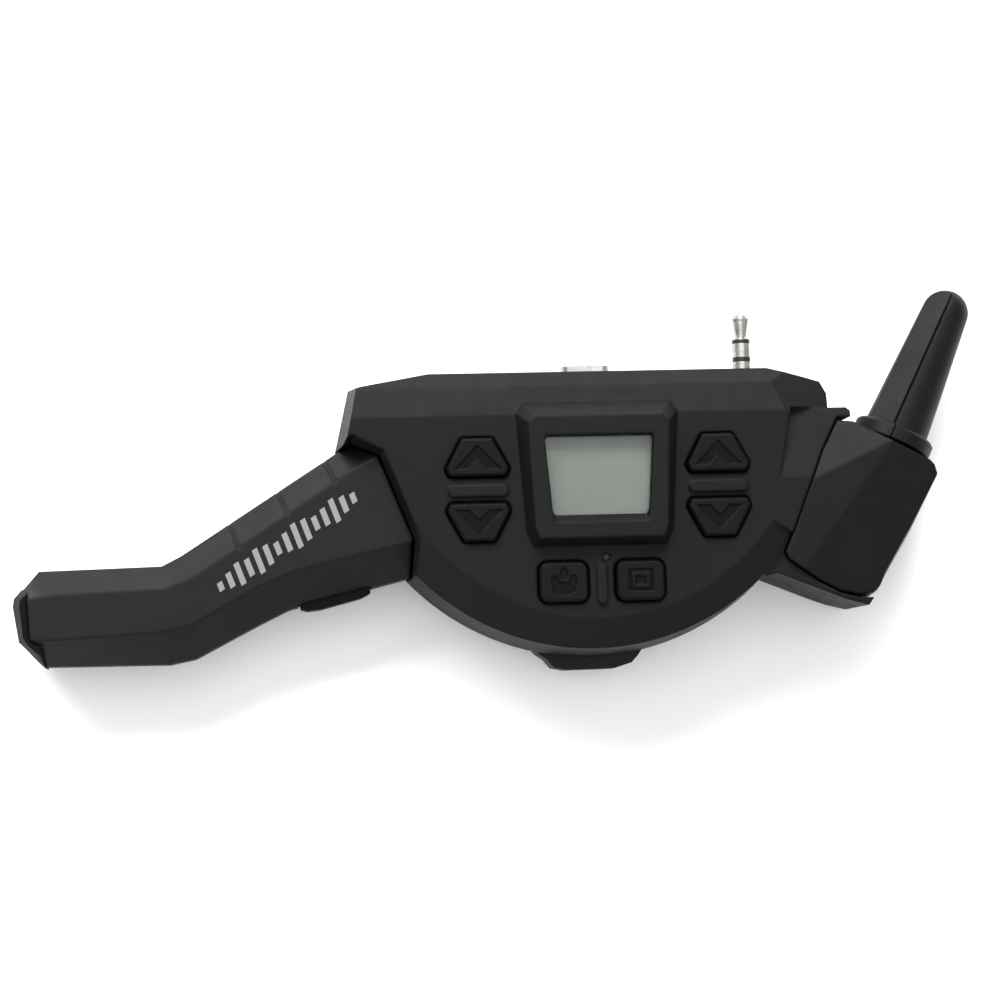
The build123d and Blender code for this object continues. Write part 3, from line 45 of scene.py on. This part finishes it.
# ------------------------------------------------------------------ materials
class Maker:
    """Builds one node material. Textures use the piece's own coordinates."""

    def __init__(self, name, color, rough, metal=0.0):
        self.mat = bpy.data.materials.new(name)
        self.mat.use_nodes = True
        self.mat.diffuse_color = (*color, 1.0)
        self.tree = self.mat.node_tree
        self.shader = self.tree.nodes["Principled BSDF"]
        self.set("Base Color", (*color, 1.0))
        self.set("Roughness", rough)
        self.set("Metallic", metal)
        self.coord = self.node("ShaderNodeTexCoord").outputs["Object"]
        self.normal = None

    def node(self, kind, **values):
        made = self.tree.nodes.new(kind)
        for key, value in values.items():
            if key in made.inputs:
                made.inputs[key].default_value = value
            else:
                setattr(made, key, value)
        return made

    def link(self, out, into):
        self.tree.links.new(out, into)

    def set(self, socket, value):
        self.shader.inputs[socket].default_value = value

    def noise(self, size_mm, detail=2.0, rough=0.5, stretch=None):
        """Noise whose features are about size_mm across."""
        made = self.node("ShaderNodeTexNoise")
        made.inputs["Scale"].default_value = 1000.0 / size_mm
        made.inputs["Detail"].default_value = detail
        made.inputs["Roughness"].default_value = rough
        source = self.coord
        if stretch:
            mapping = self.node("ShaderNodeMapping")
            mapping.inputs["Scale"].default_value = stretch
            self.link(source, mapping.inputs["Vector"])
            source = mapping.outputs["Vector"]
        self.link(source, made.inputs["Vector"])
        return made.outputs["Fac"]

    def cells(self, size_mm):
        made = self.node("ShaderNodeTexVoronoi")
        made.inputs["Scale"].default_value = 1000.0 / size_mm
        self.link(self.coord, made.inputs["Vector"])
        return made.outputs["Distance"]

    def above(self, low_mm, high_mm):
        """0 below the lower height and 1 above the upper one."""
        split = self.node("ShaderNodeSeparateXYZ")
        self.link(self.coord, split.inputs[0])
        made = self.node("ShaderNodeMapRange")
        made.inputs["From Min"].default_value = low_mm * MM
        made.inputs["From Max"].default_value = high_mm * MM
        self.link(split.outputs[2], made.inputs["Value"])
        return made.outputs["Result"]

    def ramp(self, fac, stops):
        made = self.node("ShaderNodeValToRGB")
        ramp = made.color_ramp
        while len(ramp.elements) < len(stops):
            ramp.elements.new(0.5)
        for element, (at, color) in zip(ramp.elements, stops):
            element.position = at
            if not isinstance(color, tuple):
                color = (color, color, color)
            element.color = (*color, 1.0)
        self.link(fac, made.inputs["Fac"])
        return made.outputs["Color"]

    def mix(self, fac, a, b):
        """Mix of two colours; each is a tuple or an output."""
        made = self.node("ShaderNodeMix", data_type="RGBA")
        for value, socket in ((fac, made.inputs[0]), (a, made.inputs[6]), (b, made.inputs[7])):
            if isinstance(value, tuple):
                socket.default_value = (*value, 1.0)
            elif isinstance(value, float):
                socket.default_value = value
            else:
                self.link(value, socket)
        return made.outputs[2]

    def round_edges(self, radius_mm):
        made = self.node("ShaderNodeBevel", samples=6)
        made.inputs["Radius"].default_value = radius_mm * MM
        self.normal = made.outputs["Normal"]
        self.link(self.normal, self.shader.inputs["Normal"])

    def edge_highlight_mask(self, radius_mm, low, high):
        """About 1 along edges, and 0 on flats; it places the painted edge highlight."""
        bevel = self.node("ShaderNodeBevel", samples=6)
        bevel.inputs["Radius"].default_value = radius_mm * MM
        geometry = self.node("ShaderNodeNewGeometry")
        dot = self.node("ShaderNodeVectorMath", operation="DOT_PRODUCT")
        self.link(bevel.outputs["Normal"], dot.inputs[0])
        self.link(geometry.outputs["Normal"], dot.inputs[1])
        return self.ramp(dot.outputs["Value"], [(low, 1.0), (high, 0.0)])

    def bump(self, height, depth_mm, strength=1.0):
        made = self.node("ShaderNodeBump")
        made.inputs["Strength"].default_value = strength
        made.inputs["Distance"].default_value = depth_mm * MM
        self.link(height, made.inputs["Height"])
        if self.normal:
            self.link(self.normal, made.inputs["Normal"])
        self.normal = made.outputs["Normal"]
        self.link(self.normal, self.shader.inputs["Normal"])

    def rough_by(self, fac, low, high):
        spread = self.ramp(fac, [(0.3, low), (0.7, high)])
        self.link(spread, self.shader.inputs["Roughness"])

    def color_by(self, out):
        self.link(out, self.shader.inputs["Base Color"])


def scaled(color, k):
    return tuple(min(1.0, c * k) for c in color)


def soft_touch(name, color, rough, round_mm=0.5, grain_mm=0.28, depth_mm=0.012, shine=0.13):
    """Moulded plastic with a matt rubbery coat: fine grain, handled patches, and a painted
    highlight along the edges.
    """
    m = Maker(name, color, rough)
    if round_mm:
        m.round_edges(round_mm)
    patches = m.noise(14.0, 3.0, 0.6)
    spread = m.ramp(patches, [(0.35, 0.0), (0.7, 1.0)])
    tint = m.mix(spread, scaled(color, 0.93), scaled(color, 1.07))
    # painted highlight: the base colour is lifted 1.35 times along edges and corners
    edges = m.edge_highlight_mask(0.35, 0.86, 0.985)
    m.color_by(m.mix(edges, tint, scaled(color, 1.35)))
    m.rough_by(m.noise(5.0, 4.0, 0.6), rough - 0.05, rough + 0.05)
    m.bump(m.noise(grain_mm, 3.0, 0.65), depth_mm, 0.8)
    m.set("Specular IOR Level", shine)
    return m.mat


def smooth_rubber(name, color, rough, round_mm=0.35):
    """Silicone rubber of the keys: finer grain and a low lustre."""
    m = Maker(name, color, rough)
    m.round_edges(round_mm)
    dust = m.noise(2.2, 4.0, 0.7)
    top = m.mix(m.ramp(dust, [(0.45, 0.0), (0.75, 1.0)]), color, scaled(color, 1.25))
    m.color_by(m.mix(m.above(*KEY_MARK_MM), scaled(color, 0.3), top))
    m.rough_by(m.noise(3.0, 3.0, 0.6), rough - 0.05, rough + 0.06)
    m.bump(m.noise(0.16, 2.0, 0.5), 0.006, 0.7)
    m.set("Specular IOR Level", 0.08)
    return m.mat


def metal(name, color, rough, lines_mm=0.12, stretch=(1, 1, 8), dark=0.75):
    """Plated or drawn metal: fine turned or drawn lines and slight staining."""
    m = Maker(name, color, rough, metal=1.0)
    stain = m.noise(1.8, 4.0, 0.6)
    m.color_by(m.mix(m.ramp(stain, [(0.4, 0.0), (0.8, 1.0)]), color, scaled(color, dark)))
    m.rough_by(m.noise(1.2, 4.0, 0.6), max(0.05, rough - 0.06), rough + 0.08)
    m.bump(m.noise(lines_mm, 2.0, 0.5, stretch), 0.004, 0.5)
    return m.mat


def window_material():
    m = Maker("window_clear", (0.93, 0.96, 0.94), 0.03)
    m.set("Transmission Weight", 1.0)
    m.set("IOR", 1.2)
    m.rough_by(m.noise(6.0, 5.0, 0.7), 0.015, 0.05)
    m.bump(m.noise(1.5, 2.0, 0.5), 0.0006, 0.3)
    return m.mat


def display_material():
    """Liquid-crystal panel at rest: pale grey-green with a faint dot grid."""
    m = Maker("display_glass", (0.137, 0.147, 0.131), 0.35)
    split = m.node("ShaderNodeSeparateXYZ")
    m.link(m.coord, split.inputs[0])
    lines = []
    for axis in (0, 1):
        wave = m.node("ShaderNodeMath", operation="MULTIPLY")
        wave.inputs[1].default_value = 2 * math.pi / (DOT_PITCH_MM * MM)
        m.link(split.outputs[axis], wave.inputs[0])
        sine = m.node("ShaderNodeMath", operation="SINE")
        m.link(wave.outputs[0], sine.inputs[0])
        lines.append(m.ramp(sine.outputs[0], [(0.0, 1.0), (0.35, 0.0)]))
    grid = m.node("ShaderNodeMath", operation="MAXIMUM")
    m.link(lines[0], grid.inputs[0])
    m.link(lines[1], grid.inputs[1])
    cloud = m.noise(9.0, 2.0, 0.5)
    patches = m.ramp(cloud, [(0.35, 0.0), (0.75, 1.0)])
    ground = m.mix(patches, (0.130, 0.140, 0.125), (0.143, 0.153, 0.138))
    m.color_by(m.mix(grid.outputs[0], ground, (0.133, 0.143, 0.128)))
    m.rough_by(m.noise(2.0, 3.0, 0.5), 0.3, 0.42)
    m.bump(m.noise(0.4, 1.0, 0.5), 0.002, 0.2)
    return m.mat


def board_material():
    m = Maker("board_green", (0.02, 0.12, 0.05), 0.3)
    tracks = m.cells(2.4)
    copper = m.ramp(tracks, [(0.28, 1.0), (0.34, 0.0)])
    m.color_by(m.mix(copper, (0.012, 0.085, 0.035), (0.05, 0.2, 0.08)))
    m.bump(tracks, 0.02, 0.4)
    m.rough_by(m.noise(3.0), 0.25, 0.38)
    return m.mat


def moulded(name, color, rough, shine=0.5):
    m = Maker(name, color, rough)
    m.set("Specular IOR Level", shine)
    m.round_edges(0.15)
    m.color_by(m.mix(m.noise(2.5, 3.0), scaled(color, 0.88), scaled(color, 1.12)))
    m.rough_by(m.noise(1.5, 3.0), rough - 0.05, rough + 0.06)
    m.bump(m.noise(0.2, 2.0), 0.006, 0.6)
    return m.mat


def cell_material():
    m = Maker("cell_label", (0.3, 0.3, 0.31), 0.3)
    split = m.node("ShaderNodeSeparateXYZ")
    m.link(m.coord, split.inputs[0])
    band = m.node("ShaderNodeMapRange")
    band.inputs["From Min"].default_value = -0.024
    band.inputs["From Max"].default_value = 0.024
    m.link(split.outputs[0], band.inputs["Value"])
    m.color_by(
        m.ramp(
            band.outputs["Result"],
            [
                (0.0, (0.6, 0.6, 0.6)),
                (0.06, (0.03, 0.03, 0.035)),
                (0.74, (0.6, 0.35, 0.12)),
                (0.97, (0.6, 0.6, 0.6)),
            ],
        )
    )
    m.bump(m.noise(0.5, 2.0), 0.004, 0.4)
    m.rough_by(m.noise(3.0), 0.22, 0.35)
    return m.mat


CHARCOAL = (0.0030, 0.0030, 0.0032)
LIBRARY = {
    "case_plastic": soft_touch("case_plastic", CHARCOAL, 0.56, round_mm=0.7),
    "grip_plastic": soft_touch("grip_plastic", (0.0060, 0.0059, 0.0066), 0.54, round_mm=0.9),
    "door_plastic": soft_touch("door_plastic", CHARCOAL, 0.6, round_mm=0.3),
    "housing_plastic": soft_touch("housing_plastic", (0.0028, 0.0028, 0.0032), 0.5, round_mm=0.9),
    "cap_rubber": soft_touch(
        "cap_rubber", (0.0030, 0.0030, 0.0034), 0.62, round_mm=0.6, grain_mm=0.22, shine=0.06
    ),
    "aerial_rubber": soft_touch(
        "aerial_rubber", (0.0036, 0.0036, 0.0040), 0.48, round_mm=0.4, grain_mm=0.22
    ),
    "seal_rubber": soft_touch("seal_rubber", (0.003, 0.003, 0.0032), 0.7, round_mm=0, grain_mm=0.2),
    "lead_black": soft_touch("lead_black", (0.02, 0.02, 0.02), 0.5, round_mm=0, grain_mm=0.2),
    "key_rubber": smooth_rubber("key_rubber", (0.0026, 0.0028, 0.0034), 0.42),
    # painted light: a copy of the charcoal rubber made about three times lighter, so the shaded
    # latch reads as lit
    "latch_rubber_painted_light": soft_touch(
        "latch_rubber_painted_light", (0.0105, 0.0105, 0.0110), 0.55, round_mm=0.5, grain_mm=0.22
    ),
    "window_clear": window_material(),
    "display_glass": display_material(),
    "frame_plastic": moulded("frame_plastic", (0.75, 0.75, 0.73), 0.4),
    "light_pipe_clear": moulded("light_pipe_clear", (0.012, 0.012, 0.013), 0.35, shine=0.15),
    "switch_black": moulded("switch_black", (0.012, 0.012, 0.012), 0.35, shine=0.3),
    "board_green": board_material(),
    "screw_steel": metal("screw_steel", (0.16, 0.16, 0.17), 0.4, stretch=(1, 1, 1)),
    "nickel": metal("nickel", (0.44, 0.43, 0.41), 0.24, stretch=(1, 6, 1), dark=0.6),
    "spring_steel": metal("spring_steel", (0.55, 0.55, 0.56), 0.3),
    "rod_brass": metal("rod_brass", (0.60, 0.45, 0.20), 0.3),
    "cell_label": cell_material(),
}
# the battery latch takes the lighter painted-light copy of the rubber instead of its own slot's
# rubber
OWN_MATERIAL = {"battery_latch": "latch_rubber_painted_light"}
for part in frame["record"]["subparts"]:
    node = NODES[part["node"]]
    material = LIBRARY[OWN_MATERIAL.get(part["node"], part["material_slot"])]
    if not node.material_slots:
        node.data.materials.append(material)
    for slot in node.material_slots:
        slot.material = material


# ------------------------------------------------------- printed mark on grip
def plate(name, loops, low, high, body, slot_name, material):
    """Flat printed shapes with a little thickness, as one mesh."""
    mesh = bpy.data.meshes.new(name)
    bm = bmesh.new()
    for loop in loops:
        bottom = [bm.verts.new((x * MM, y * MM, low * MM)) for x, y in loop]
        top = [bm.verts.new((x * MM, y * MM, high * MM)) for x, y in loop]
        bm.faces.new(top)
        bm.faces.new(list(reversed(bottom)))
        for i in range(len(loop)):
            j = (i + 1) % len(loop)
            bm.faces.new((bottom[i], bottom[j], top[j], top[i]))
    bmesh.ops.recalc_face_normals(bm, faces=bm.faces)
    bm.to_mesh(mesh)
    bm.free()
    made = bpy.data.objects.new(name, mesh)
    bpy.context.collection.objects.link(made)
    mesh.materials.append(material)
    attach(made, body)
    return made


def wave_bars():
    """Outlines of the slanted bars of a sound level graphic, in millimetres."""
    start, angle = Vector((-71.2, -18.4)), math.radians(32.5)
    pitch, half_height, lean_mm, half_width = 2.1, 2.3, 0.5, 0.55
    along = Vector((math.cos(angle), math.sin(angle)))
    up = Vector((-math.sin(angle), math.cos(angle)))
    levels = [0.35, 0.6, 0.9, 0.7, 1.0, 0.8, 0.5, 0.75, 1.0, 0.85, 0.55, 0.7, 0.95, 0.65, 0.4]
    bars = []
    for i, level in enumerate(levels):
        middle = start + along * (1.1 + i * pitch)
        half = up * (half_height * level)
        lean = along * (lean_mm * level)
        wide = along * half_width
        corners = [middle - half - lean - wide, middle - half - lean + wide]
        corners += [middle + half + lean + wide, middle + half + lean - wide]
        bars.append([(c.x, c.y) for c in corners])
    return bars


ink = Maker("print_silver", (0.155, 0.157, 0.160), 0.5)
ink.color_by(ink.mix(ink.noise(0.9, 4.0, 0.7), (0.143, 0.145, 0.148), (0.167, 0.169, 0.172)))
ink.rough_by(ink.noise(0.6, 3.0), 0.38, 0.55)
ink.bump(ink.noise(0.25, 2.0), 0.006, 0.6)
plate("grip_print", wave_bars(), *PRINT_MM, "case", "grip_plastic", ink.mat)


# -------------------------------------------------------------- floor, lights
def floor():
    mesh = bpy.data.meshes.new("floor")
    size, drop = 3.0, -0.0002
    corners = [(-size, -size, drop), (size, -size, drop), (size, size, drop), (-size, size, drop)]
    mesh.from_pydata(corners, [], [(0, 1, 2, 3)])
    made = bpy.data.objects.new("floor", mesh)
    bpy.context.collection.objects.link(made)
    m = Maker("floor_white", (0.92, 0.92, 0.92), 0.8)
    m.color_by(m.mix(m.noise(60.0, 2.0), (0.90, 0.90, 0.90), (0.93, 0.93, 0.93)))
    mesh.materials.append(m.mat)


def soft_light(name, place, target, size, power):
    data = bpy.data.lights.new(name, "AREA")
    data.shape = "RECTANGLE"
    data.size, data.size_y = size
    data.energy = power
    made = bpy.data.objects.new(name, data)
    bpy.context.collection.objects.link(made)
    made.location = place
    aim = Vector(target) - Vector(place)
    made.rotation_euler = aim.to_track_quat("-Z", "Y").to_euler()


floor()
soft_light("top_box", (-0.25, 0.95, 0.80), (0, 0, 0.01), (1.3, 0.6), 38)
soft_light("overhead", (-0.05, 0.1, 1.5), (0, 0, 0), (1.6, 1.2), 8)
soft_light("low_fill", (-0.45, -0.95, 0.55), (0, 0, 0.01), (1.2, 0.5), 2)

world = bpy.data.worlds.new("studio")
bpy.context.scene.world = world
world.use_nodes = True
world.node_tree.nodes["Background"].inputs["Color"].default_value = (1, 1, 1, 1)
world.node_tree.nodes["Background"].inputs["Strength"].default_value = 0.75

# --------------------------------------------------------------------- camera
eye = Vector((-68.7, -44.3, 546.4)) * MM
aim = Vector((-18.5, -3.3, 25.4)) * MM
forward = (aim - eye).normalized()
right = forward.cross(Vector((0, 1, 0))).normalized()
up = right.cross(forward)
roll = math.radians(-1.75)
x_axis = right * math.cos(roll) + up * math.sin(roll)
y_axis = up * math.cos(roll) - right * math.sin(roll)
lens = bpy.data.cameras.new("camera")
lens.sensor_width = 36
lens.lens = 102.1
lens.clip_start = 0.01
camera = bpy.data.objects.new("camera", lens)
bpy.context.collection.objects.link(camera)
turn = Matrix((x_axis, y_axis, -forward)).transposed()
camera.matrix_world = Matrix.Translation(eye) @ turn.to_4x4()
bpy.context.scene.camera = camera
bpy.context.scene.view_settings.view_transform = "Standard"
